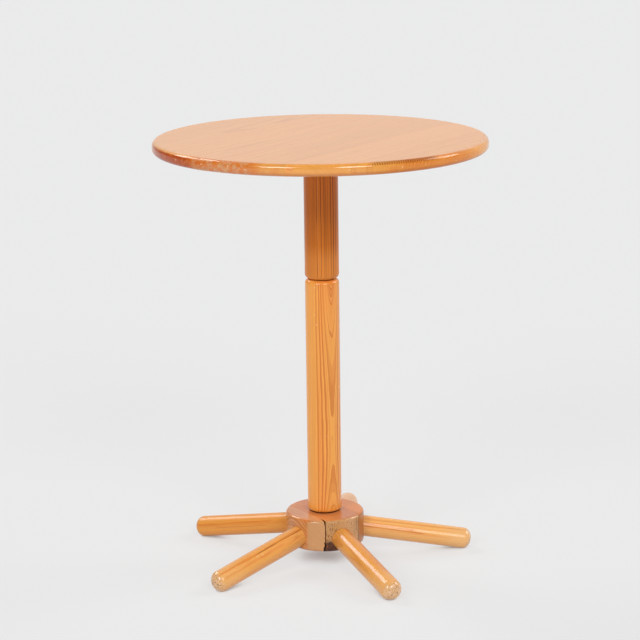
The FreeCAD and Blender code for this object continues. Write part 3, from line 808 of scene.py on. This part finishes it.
# The lower post's pith: which way from the axis, and how far; then its bends that way in millimetres, at
# the upper and the lower end, with the distances over which they fade
LOWER_PITH_WAY = heading(math.radians(-59))
LOWER_PITH_OUT = 0.0119
LOWER_PITH_BENDS = [(9.5, 125), (5.5, -48)]
# Plainer left sides of the posts, as sectors
UPPER_POST_PLAIN = (-140, 30, 12)
LOWER_POST_PLAIN = (-150, 36, 14)
# Knocks on the lower post: azimuth in degrees, height, radius and depth
POST_DINGS = [
    (-115.6, 0.474, 0.0030, 0.0004), (-118, 0.428, 0.0026, 0.0004), (-111.4, 0.411, 0.0022, 0.0003),
    (-83, 0.220, 0.0016, 0.0002), (-20, 0.300, 0.0030, 0.0004), (70, 0.190, 0.0028, 0.0004),
    (150, 0.350, 0.0026, 0.0003),
]


def upper_post_pine():
    log = Log(UPPER_POST_PITH, (0.004, -0.003, 1), ring=3.7, wander=2.0)
    wood = Pine("pine_upper_post", log, AGED_EARLYWOOD, AGED_LATEWOOD, 1.0, line=0.58, shine=0.24)
    wood.gloss = UPPER_POST_GLOSS
    wood.stain(wood.sector(*UPPER_POST_PLAIN), wood.tinted(AGED_EARLYWOOD), 0.6)
    bottom, top = upper_low.z, upper_high.z
    # Painted light: the post paler towards its lower end, below the shadow of the top
    wood.stain(wood.smooth(wood.along(UP), bottom + 0.065, bottom + 0.03), wood.tinted(PALE_STREAK_AND_PAINTED_LIGHT), 0.35)
    for azimuth, width, colour, share in UPPER_POST_LINES:
        start = round_place(azimuth, post_radius, bottom)
        wood.streak(start, round_place(azimuth, post_radius, top), width, colour, share)
    return wood.done()


def make_upper_post():
    post = add_rod("upper_post_pine", post_radius, upper_low.z, upper_high.z, POST_SIDES)
    with editing(post):
        pick("faces", any_of(flat_face(upper_low.z, -1), flat_face(upper_high.z, 1)))
        inset(post_radius - UPPER_POST_BORE)
        bpy.ops.mesh.bridge_edge_loops()
        pick("edges", on_circle(post_radius, upper_low.z))
        bevel(UPPER_POST_ROUND, EDGE_STEPS)
        pick("edges", upright(post_radius))
        bpy.ops.mesh.subdivide(number_cuts=UPPER_POST_CUTS)
    finish_shape(post)
    dress(post, "upper_post", upper_post_pine())


def lower_post_pine():
    """The pith lies in the post, and nears its front right surface towards both ends."""
    bends = []
    for (shift, fade), height in zip(LOWER_PITH_BENDS, (lower_high.z, hub_high.z)):
        bends.append((LOWER_PITH_WAY * shift, UP * height, fade))
    pith = LOWER_PITH_WAY * LOWER_PITH_OUT
    log = Log(pith, UP, ring=0.1, spread=0.5, wander=1.2, ripple=0.9, bends=bends)
    wood = Pine("pine_lower_post", log, POST_EARLYWOOD, POST_LATEWOOD, contrast=0.85, line=0.38)
    wood.stain(wood.rings * wood.smooth(wood.radius, 26, 17), POST_LATEWOOD, 0.4)
    wood.stain(wood.smooth(wood.radius, 15, 7), HEART, 0.4)
    wood.stain(wood.sector(*LOWER_POST_PLAIN), wood.tinted(POST_EARLYWOOD), 0.7)
    wood.worn_marks([
        (round_place(azimuth, post_radius, height), 0.5 * radius)
        for azimuth, height, radius, depth in POST_DINGS
    ])
    # Painted shade: the post darkened in its lowest few millimetres above the hub
    wood.stain(wood.smooth(wood.along(UP), hub_high.z + 0.0045, hub_high.z + 0.001), DARK_STREAK_AND_PAINTED_SHADE, 0.8)
    return wood.done()


def make_lower_post():
    hub_top = hub_high.z
    post = add_rod("lower_post_pine", post_radius, hub_top, lower_high.z, POST_SIDES)
    with editing(post):
        pick("faces", flat_face(lower_high.z, 1))
        inset(post_radius - BUSH_HOLE)
        extrude(bush_low.z - lower_high.z)
        inset(BUSH_HOLE - GUIDE_BORE)
        extrude(guide_low.z - bush_low.z)
        pick("faces", flat_face(hub_top, -1))
        inset(post_radius - TENON_RADIUS)
        extrude(lower_low.z - hub_top)
        pick("edges", any_of(on_circle(post_radius, hub_top), on_circle(post_radius, lower_high.z)))
        bevel(LOWER_POST_ROUND, EDGE_STEPS)
        pick("edges", upright(post_radius))
        bpy.ops.mesh.subdivide(number_cuts=LOWER_POST_CUTS)
        for azimuth, height, radius, depth in POST_DINGS:
            place = round_place(azimuth, post_radius, height)
            dent(place, radius, inward(place, depth))
    pin = add_rod("pin_cutter", PIN_HOLE, pin_low.z, lower_high.z + CUTTER_PAST, PIN_SIDES)
    for side in (1, -1):
        pin.location.x = side * (pin_high.x - PIN_HOLE)
        carve(post, pin)
    bpy.data.objects.remove(pin)
    finish_shape(post)
    dress(post, "lower_post", lower_post_pine())


# The hub: a turned block of three boards, bored for the legs

grain_of_hub = heading(HUB_AZIMUTH)
across_hub = heading(HUB_AZIMUTH + math.pi / 2)
HUB_EARLYWOOD = srgb(222, 140, 66)
HUB_LATEWOOD = srgb(176, 84, 36)
HUB_PALE = srgb(218, 146, 82)
HUB_RING = srgb(124, 46, 18)
HUB_TOP = srgb(204, 128, 84)
HUB_TOP_PALE = srgb(216, 152, 104)
END_GREY = srgb(202, 153, 97)
END_PALE = srgb(209, 156, 104)
END_RED = srgb(168, 102, 58)
BARK_DARK = srgb(60, 16, 1)
BARK_LIGHT = srgb(138, 78, 28)
# Dark upright streaks on the end grain: azimuth in degrees, ends below the top and above the foot, width
HUB_STREAKS = [(-40, 0.006, 0.024, 0.0010), (-36, 0.002, 0.030, 0.0016), (-31.5, 0.004, 0.002, 0.0026)]
# Parts of the hub's end grain, as sectors
HUB_END_PALE = (-46, 16, 6)
HUB_END_ROUGH = (-82, 10, 5)
HUB_BARK = (-80, 12, 2)
# The glue joint that has opened at the front of the hub. Tall is a share of the hub's height, inner the
# share of the width at the inner end, and a wave has its reach, pace and start
CRACK_WIDTH = 0.0015
CRACK_DEPTH = 0.014
CRACK_OUTSIDE = 0.003
CRACK_TALL = 1.1
CRACK_INNER = 0.15
CRACK_STEPS = 24
CRACK_FLARE_TOP = 0.0050
CRACK_FLARE_FOOT = 0.0055
CRACK_WAVES = [(0.0004, 1.9, 0), (0.0003, 4.7, 1)]


def leg_root(azimuth):
    """Where the axis of a leg starts, in the hub."""
    return heading(azimuth) * LEG_ROOT_REACH + UP * leg_root_height


def leg_place(azimuth):
    """Frame of a leg: its Z axis runs outwards and down along the leg."""
    turn = UP.rotation_difference(heading(azimuth, -LEG_SLOPE))
    return Matrix.Translation(leg_root(azimuth)) @ turn.to_matrix().to_4x4()


def hub_log(aside, height, ring):
    return Log(across_hub * aside + UP * (hub_low.z + height), grain_of_hub + UP * 0.03, ring=ring)


def painted_foot_shadow(wood):
    """Painted shade: a dark ring on the hub's top round the foot of the post."""
    ring = wood.smooth(wood.from_axis(), post_radius - 0.001, post_radius - 0.005)
    wood.stain(ring * wood.looking(UP, 0.9, 0.98), DARK_STREAK_AND_PAINTED_SHADE, 0.85)


def hub_left_pine():
    """Pith above the block: rings that slant down round the front left leg, and a smooth pale end."""
    wood = Pine("pine_hub_left_board", hub_log(0.012, 0.062, 2.7), HUB_PALE, HUB_RING, 0.9, line=0.5)
    wood.stain(wood.looking(UP, 0.7, 0.95), HUB_TOP_PALE, 0.75)
    wood.end_grain(END_PALE, 0.85, (0.44, 0.50))
    # Painted shade on the wall of the opened glue joint
    wood.stain(wood.looking(-across_hub, 0.75, 0.9), DARK_STREAK_AND_PAINTED_SHADE, 0.85)
    painted_foot_shadow(wood)
    return wood.done()


def hub_middle_pine():
    """Rough end grain, grey by the open joint and paler beyond the front right leg, and a barky foot."""
    wood = Pine("pine_hub_middle_board", hub_log(0.010, -0.050, 3.0), HUB_EARLYWOOD, HUB_LATEWOOD, 0.45)
    wood.stain(wood.looking(UP, 0.7, 0.95), HUB_TOP, 0.5)
    end = wood.end_grain(END_GREY, 0.88, (0.42, 0.52))
    pale = end * wood.sector(*HUB_END_PALE)
    wood.stain(pale, wood.tinted(END_PALE), 0.8)
    fleck = wood.noise(wood.vector("MULTIPLY", wood.place, (700, 700, 170)), 2.0, 0.6)
    rough = end * wood.sector(*HUB_END_ROUGH)
    wood.stain(wood.smooth(fleck, 0.54, 0.66) * rough, PIT, 0.7)
    fringe = rough * wood.smooth(wood.along(UP), hub_low.z + 0.042, hub_low.z + 0.026)
    wood.stain(wood.smooth(fleck, 0.44, 0.58) * fringe, BARK_LIGHT, 0.7)
    wood.pits(end, 1.6, 0.62, 0.70)
    height = wood.along(UP) + 0.036 * (fleck - 0.5)
    bark = wood.smooth(height, hub_low.z + 0.019, hub_low.z + 0.015) * wood.sector(*HUB_BARK)
    wood.stain(bark, wood.mix(wood.smooth(fleck, 0.51, 0.62), BARK_DARK, BARK_LIGHT), 0.95)
    wood.dull(bark, 0.35)
    for azimuth, drop, rise, width in HUB_STREAKS:
        high = round_place(azimuth, hub_radius, hub_high.z - drop)
        low = round_place(azimuth - 1, hub_radius, hub_low.z + rise)
        wood.streak(high, low, width, DARK_STREAK_AND_PAINTED_SHADE, 0.6)
    # Painted shade on the wall of the opened glue joint
    wood.stain(wood.looking(across_hub, 0.75, 0.9), DARK_STREAK_AND_PAINTED_SHADE, 0.85)
    painted_foot_shadow(wood)
    return wood.done()


def hub_right_pine():
    wood = Pine("pine_hub_right_board", hub_log(-0.075, 0.010, 2.6), HUB_EARLYWOOD, HUB_LATEWOOD, 0.6)
    wood.end_grain(END_RED, 0.8, (0.42, 0.60))
    painted_foot_shadow(wood)
    return wood.done()


def make_crack():
    """Cutter for the opened glue joint: a ragged wedge, flared at both ends."""
    front = math.sqrt(hub_radius ** 2 - HUB_JOINTS[1] ** 2)
    height = hub_high.z - hub_low.z
    tall = CRACK_TALL * height
    bpy.ops.mesh.primitive_cube_add(size=1)
    crack = bpy.context.object
    crack.name = "crack_cutter"
    crack.scale = (CRACK_DEPTH + CRACK_OUTSIDE, CRACK_WIDTH, tall)
    crack.location.x = (CRACK_DEPTH - CRACK_OUTSIDE) / 2
    settle(crack)
    with editing(crack):
        pick("edges", lambda edge: abs(edge.verts[0].co.z - edge.verts[1].co.z) > 0.5 * height)
        bpy.ops.mesh.subdivide(number_cuts=CRACK_STEPS - 1)
        pick("verts", lambda vert: vert.co.x > 0)
        bpy.ops.transform.resize(value=(1, CRACK_INNER, 1), center_override=(CRACK_DEPTH, 0, 0))
        for step in range(CRACK_STEPS + 1):
            share = step / CRACK_STEPS
            level = tall * (share - 0.5)
            wiggle = sum(reach * math.sin(pace * step + start) for reach, pace, start in CRACK_WAVES)
            at_level = on_level(level)
            pick("verts", at_level)
            bpy.ops.transform.translate(value=(0, wiggle, 0))
            upper = max(0, share - 0.75) / 0.25
            lower = max(0, 0.5 - share) / 0.5
            flare = CRACK_FLARE_TOP * upper ** 2 + CRACK_FLARE_FOOT * lower ** 2
            pick("verts", lambda vert: at_level(vert) and vert.co.x < 0 and vert.co.y > wiggle)
            bpy.ops.transform.translate(value=(0, flare, 0))
    middle = across_hub * HUB_JOINTS[1] - grain_of_hub * front + UP * (hub_low.z + height / 2)
    crack.matrix_world = Matrix.Translation(middle) @ Matrix.Rotation(HUB_AZIMUTH, 4, "Z")
    settle(crack)
    return crack


def make_hub():
    block = add_rod("hub_blank", hub_radius, hub_low.z, hub_high.z, HUB_SIDES)
    with editing(block):
        pick("edges", any_of(on_circle(hub_radius, hub_low.z), on_circle(hub_radius, hub_high.z)))
        bevel(HUB_EDGE_ROUND, EDGE_STEPS)
    cutters = [make_crack()]
    for azimuth in LEG_AZIMUTHS.values():
        socket = add_rod("socket_cutter", LEG_RADIUS + SOCKET_GAP, 0, leg_length, LEG_SIDES)
        socket.matrix_world = leg_place(math.radians(azimuth))
        settle(socket)
        cutters.append(socket)
    recess = washer_high.x + RECESS_GAP
    mortise = TENON_RADIUS + MORTISE_GAP
    foot = hub_low.z - CUTTER_PAST
    head = hub_high.z + CUTTER_PAST
    cutters.append(add_rod("recess_cutter", recess, foot, washer_high.z, HOLE_SIDES))
    cutters.append(add_rod("mortise_cutter", mortise, lower_low.z, head, HOLE_SIDES))
    for cutter in cutters:
        carve(block, cutter)
    edges = [-hub_radius] + HUB_JOINTS + [hub_radius]
    finishes = {
        "hub_right_board": hub_right_pine, "hub_middle_board": hub_middle_pine,
        "hub_left_board": hub_left_pine,
    }
    for node, start, stop in zip(finishes, edges, edges[1:]):
        board = copy_of(block, f"{node}_pine")
        with editing(board):
            saw_out(across_hub, start, stop, hub_radius)
        finish_shape(board)
        dress(board, node, finishes[node]())
    for cutter in cutters + [block]:
        bpy.data.objects.remove(cutter)


# The legs: one turned rod, copied

LEG_WORN = srgb(238, 184, 120)
LEG_RED = srgb(206, 108, 44)
# Where the wear of a leg starts and where it is full, before the tip
LEG_WEAR_STARTS = 0.075
LEG_WEAR_FULL = 0.015
# Each leg: its earlywood, how worn and bare-ended its tip is, the roughness of its varnish, and where its
# pith lay, aside to its left seen from its tip and below its axis. A streak has the share of the length
# and the angle at both ends, width, colour and strength; a knock the share of the length, the angle,
# radius and depth. Angles are in degrees from the top of the leg to its right, seen from its tip.
LEGS = {
    "leg_back": {
        "early": srgb(236, 166, 84), "wear": 0.5, "shine": 0.2, "pith": (0.030, 0.020), "streaks": [],
        "knocks": [(0.70, 30, 0.0030, 0.0004)],
    },
    "leg_left": {
        "early": srgb(234, 157, 64), "wear": 0.0, "shine": 0.32, "pith": (0.012, 0.052),
        "streaks": [
            (0.30, 60, 0.98, 70, 0.0026, LEG_RED, 0.45), (0.35, 85, 0.80, 88, 0.0018, LEG_RED, 0.4),
        ],
        "knocks": [(0.62, -40, 0.0026, 0.0004), (0.88, 20, 0.0030, 0.0005)],
    },
    "leg_front_left": {
        "early": srgb(237, 170, 89), "wear": 0.45, "shine": 0.19, "pith": (0.040, 0.016),
        "streaks": [
            (0.10, 30, 0.62, 30, 0.0013, RESIN, 0.65), (0.16, 22, 0.50, 25, 0.0009, RESIN, 0.45),
            (0.60, 30, 0.97, 26, 0.0030, LEG_RED, 0.55), (0.35, 52, 0.95, 60, 0.0030, LEG_RED, 0.3),
        ],
        "knocks": [(0.56, 46, 0.0022, 0.0004), (0.61, 42, 0.0026, 0.0004), (0.66, 38, 0.0022, 0.0003)],
    },
    "leg_front_right": {
        "early": srgb(233, 164, 80), "wear": 0.55, "shine": 0.19, "pith": (-0.046, 0.010),
        "streaks": [
            (0.15, 22, 0.85, 26, 0.0042, LEG_RED, 0.55), (0.20, -32, 0.9, -38, 0.0030, LEG_RED, 0.3),
        ],
        "knocks": [(0.50, -20, 0.0022, 0.0003), (0.78, -25, 0.0024, 0.0004)],
    },
    "leg_right": {
        "early": srgb(245, 184, 108), "wear": 0.85, "shine": 0.22, "pith": (-0.018, 0.044),
        "streaks": [
            (0.14, -62, 0.55, -66, 0.0014, LEG_RED, 0.7), (0.14, -74, 0.62, -78, 0.0014, LEG_RED, 0.7),
            (0.15, -30, 0.95, -24, 0.0022, LEG_RED, 0.35),
        ],
        "knocks": [(0.86, 70, 0.0024, 0.0003), (0.92, 60, 0.0028, 0.0004)],
    },
}


def leg_spot(azimuth, share, angle):
    """Place on the surface of a leg, by its share of the length and the angle from its top in degrees."""
    along = heading(azimuth, -LEG_SLOPE)
    right = UP.cross(along).normalized()
    top = along.cross(right)
    turn = math.radians(angle)
    outward = top * math.cos(turn) + right * math.sin(turn)
    return leg_root(azimuth) + along * (share * leg_length) + outward * LEG_RADIUS


def leg_pine(node, azimuth):
    along = heading(azimuth, -LEG_SLOPE)
    left = along.cross(UP).normalized()
    facts = LEGS[node]
    wear = facts["wear"]
    aside, below = facts["pith"]
    pith = UP * (leg_root_height - below) + left * aside
    log = Log(pith + along * (7 * aside), along + left * 0.02, ring=2.7, wander=2.2)
    wood = Pine(f"pine_{node}", log, facts["early"], contrast=0.5, line=0.45, shine=facts["shine"])
    run = wood.along(along) + 0.02 * (wood.cloud(16) - 0.5)
    tip = leg_spot(azimuth, 1.0, 90).dot(along)
    worn = wood.smooth(run, tip - LEG_WEAR_STARTS, tip - LEG_WEAR_FULL)
    wood.stain(worn, LEG_WORN, wear)
    for first, first_angle, last, last_angle, width, colour, share in facts["streaks"]:
        start = leg_spot(azimuth, first, first_angle)
        wood.streak(start, leg_spot(azimuth, last, last_angle), width, colour, share)
    end = wood.end_grain(END_TAN, 0.08 + 1.15 * wear, (0.2, 0.85), 0.9)
    wood.stain(wood.rings * end, PIT, 0.5)
    wood.stain(wood.smooth(wood.cloud(5), 0.52, 0.64) * end, SCUFF, wear)
    wood.pits(end, 2.7, 0.63, 0.68)
    wood.varnish = 0.8 * end
    wood.worn_marks([
        (leg_spot(azimuth, share, angle), 0.6 * radius)
        for share, angle, radius, depth in facts["knocks"]
    ])
    return wood.done()


def make_legs():
    rod = add_rod("leg_blank", LEG_RADIUS, 0, leg_length, LEG_SIDES)
    with editing(rod):
        pick("edges", on_circle(LEG_RADIUS, leg_length))
        bevel(LEG_END_ROUND, LEG_END_STEPS)
        pick("edges", upright(LEG_RADIUS))
        bpy.ops.mesh.subdivide(number_cuts=LEG_CUTS)
    for node, azimuth in LEG_AZIMUTHS.items():
        azimuth = math.radians(azimuth)
        leg = copy_of(rod, f"{node}_pine")
        leg.matrix_world = leg_place(azimuth)
        settle(leg)
        with editing(leg):
            for share, angle, radius, depth in LEGS[node]["knocks"]:
                place = leg_spot(azimuth, share, angle)
                middle = (place + leg_spot(azimuth, share, angle + 180)) / 2
                dent(place, radius, (middle - place).normalized() * depth)
            slice_off((0, 0, 0), -UP)
        finish_shape(leg)
        dress(leg, node, leg_pine(node, azimuth))
    bpy.data.objects.remove(rod)


def finish_inner_pieces():
    """Finishes for the pieces that keep their CAD shape."""
    beech_upright = beech("beech_upright", UP)
    steel = zinc("zinc_plate")
    pith = Vector((0, 0, top_low.z + 0.05))
    finishes = {
        "top_cleat": Pine("pine_cleat", Log(pith, across_top, ring=3.0), shine=0.4).done(),
        "spindle": beech_upright, "spindle_wedge": beech_upright, "thread_bush": beech_upright,
        "bush_pins": beech_upright, "spindle_guide": beech_upright,
        "cleat_screws": steel, "guide_washer": steel, "guide_screw": steel, "post_bolt": steel,
        "post_washer": steel,
    }
    for node, material in finishes.items():
        mesh = frame["nodes"][node].data
        mesh.materials.clear()
        mesh.materials.append(material)


# Stage: camera, floor and light

CAMERA_PLACE = (0.0, -3.5049, 1.2515)
CAMERA_YAW = -0.0012
CAMERA_PITCH = 0.2348
CAMERA_ROLL = 0.0128
CAMERA_LENS = 121.725
CAMERA_SENSOR = 36
FLOOR_SIZE = 60.0
FLOOR_COLOUR = srgb(220, 221, 222)
FLOOR_BLOT = srgb(214, 215, 217)
# Share of pale white that the eye and reflections see in the floor, which keeps the shadows faint: on the
# open floor, and close under a piece. Then the white's level, the reach that counts as close, and the
# shares of open sky at which the floor is close under a piece and open
FLOOR_WHITE = 0.70
FLOOR_WHITE_CLOSE = 0.28
FLOOR_WHITE_LEVEL = 0.87
CLOSE_REACH = 0.06
OPEN_SKY = (0.20, 0.36)
# Brightness of the studio: its even light, the backdrop to the eye, and the backdrop and the sides in
# reflections
WORLD_LIGHT = 0.28
BACKDROP_SEEN = 0.83
BACKDROP_MIRRORED = 0.8
SIDES_MIRRORED = 0.16
# Where the middle of the backdrop stands, a little to the right, in degrees; then where it starts and
# where it is full, as the cosine of the angle from its middle
BACKDROP_AZIMUTH = 70
BACKDROP_EDGE = (0.35, 0.9)
# Four soft round lights: azimuth and height above the horizon, in degrees
SOFT_LIGHTS = {
    "light_front_left": (-122, 32), "light_front_right": (-66, 32),
    "light_right": (17, 35), "light_back_left": (137, 40),
}
LIGHT_STRENGTH = 1.0
LIGHT_WIDTH = 24


def set_camera():
    data = bpy.data.cameras.new("camera")
    data.lens = CAMERA_LENS
    data.sensor_width = CAMERA_SENSOR
    camera = bpy.data.objects.new("camera", data)
    bpy.context.scene.collection.objects.link(camera)
    turn = Matrix.Rotation(-CAMERA_YAW, 4, "Z") @ Matrix.Rotation(math.pi / 2 - CAMERA_PITCH, 4, "X")
    turn = turn @ Matrix.Rotation(-CAMERA_ROLL, 4, "Z")
    camera.matrix_world = Matrix.Translation(CAMERA_PLACE) @ turn
    bpy.context.scene.camera = camera


def set_floor():
    bpy.ops.mesh.primitive_plane_add(size=FLOOR_SIZE, location=(0, 0, 0))
    floor = bpy.context.object
    floor.name = "floor"
    finish = Finish("pale_floor")
    colour = finish.mix(finish.cloud(1700, 1.0) * 0.04, FLOOR_COLOUR, FLOOR_BLOT)
    through = finish.math("MAXIMUM", finish.ray("Glossy"), finish.ray("Transmission"))
    seen = finish.math("MAXIMUM", finish.ray("Camera"), through)
    paper = finish.node("ShaderNodeBsdfDiffuse", None, {"Color": colour})
    white = finish.node("ShaderNodeEmission", None, {"Strength": FLOOR_WHITE_LEVEL})
    sky = finish.node("ShaderNodeAmbientOcclusion", None, {"Distance": CLOSE_REACH}, "AO")
    clear = finish.smooth(sky, *OPEN_SKY)
    share = seen * (FLOOR_WHITE_CLOSE + (FLOOR_WHITE - FLOOR_WHITE_CLOSE) * clear)
    mixed = finish.node("ShaderNodeMixShader", None, {0: share, 1: paper, 2: white})
    finish.node("ShaderNodeOutputMaterial", None, {"Surface": mixed})
    floor.data.materials.append(finish.material)


def add_sun(name, azimuth, rise, strength, width):
    """Soft round light far away, as wide as an angle in degrees."""
    data = bpy.data.lights.new(name, "SUN")
    data.energy = strength
    data.angle = math.radians(width)
    lamp = bpy.data.objects.new(name, data)
    bpy.context.scene.collection.objects.link(lamp)
    toward = heading(math.radians(azimuth), math.radians(rise))
    lamp.matrix_world = toward.to_track_quat("Z", "Y").to_matrix().to_4x4()


def set_light():
    world = bpy.data.worlds.new("studio")
    bpy.context.scene.world = world
    world.use_nodes = True
    studio = Nodes(world.node_tree)
    direction = studio.node("ShaderNodeTexCoord", output="Generated")
    nearness = studio.dot(direction, heading(math.radians(BACKDROP_AZIMUTH)))
    backdrop = studio.smooth(nearness, *BACKDROP_EDGE)
    reflected = SIDES_MIRRORED + (BACKDROP_MIRRORED - SIDES_MIRRORED) * backdrop
    seen = studio.math("MAXIMUM", studio.ray("Camera"), studio.ray("Transmission"))
    mirrored = studio.math("MINIMUM", studio.ray("Glossy"), 1 - seen)
    strength = WORLD_LIGHT + (BACKDROP_SEEN - WORLD_LIGHT) * seen + (reflected - WORLD_LIGHT) * mirrored
    sky = studio.node("ShaderNodeBackground", None, {"Color": (1, 1, 1, 1), "Strength": strength})
    studio.node("ShaderNodeOutputWorld", None, {"Surface": sky})
    for name, (azimuth, rise) in SOFT_LIGHTS.items():
        add_sun(name, azimuth, rise, LIGHT_STRENGTH, LIGHT_WIDTH)
    bpy.context.scene.view_settings.view_transform = "Standard"


make_top()
make_upper_post()
make_lower_post()
make_hub()
make_legs()
finish_inner_pieces()
set_camera()
set_floor()
set_light()
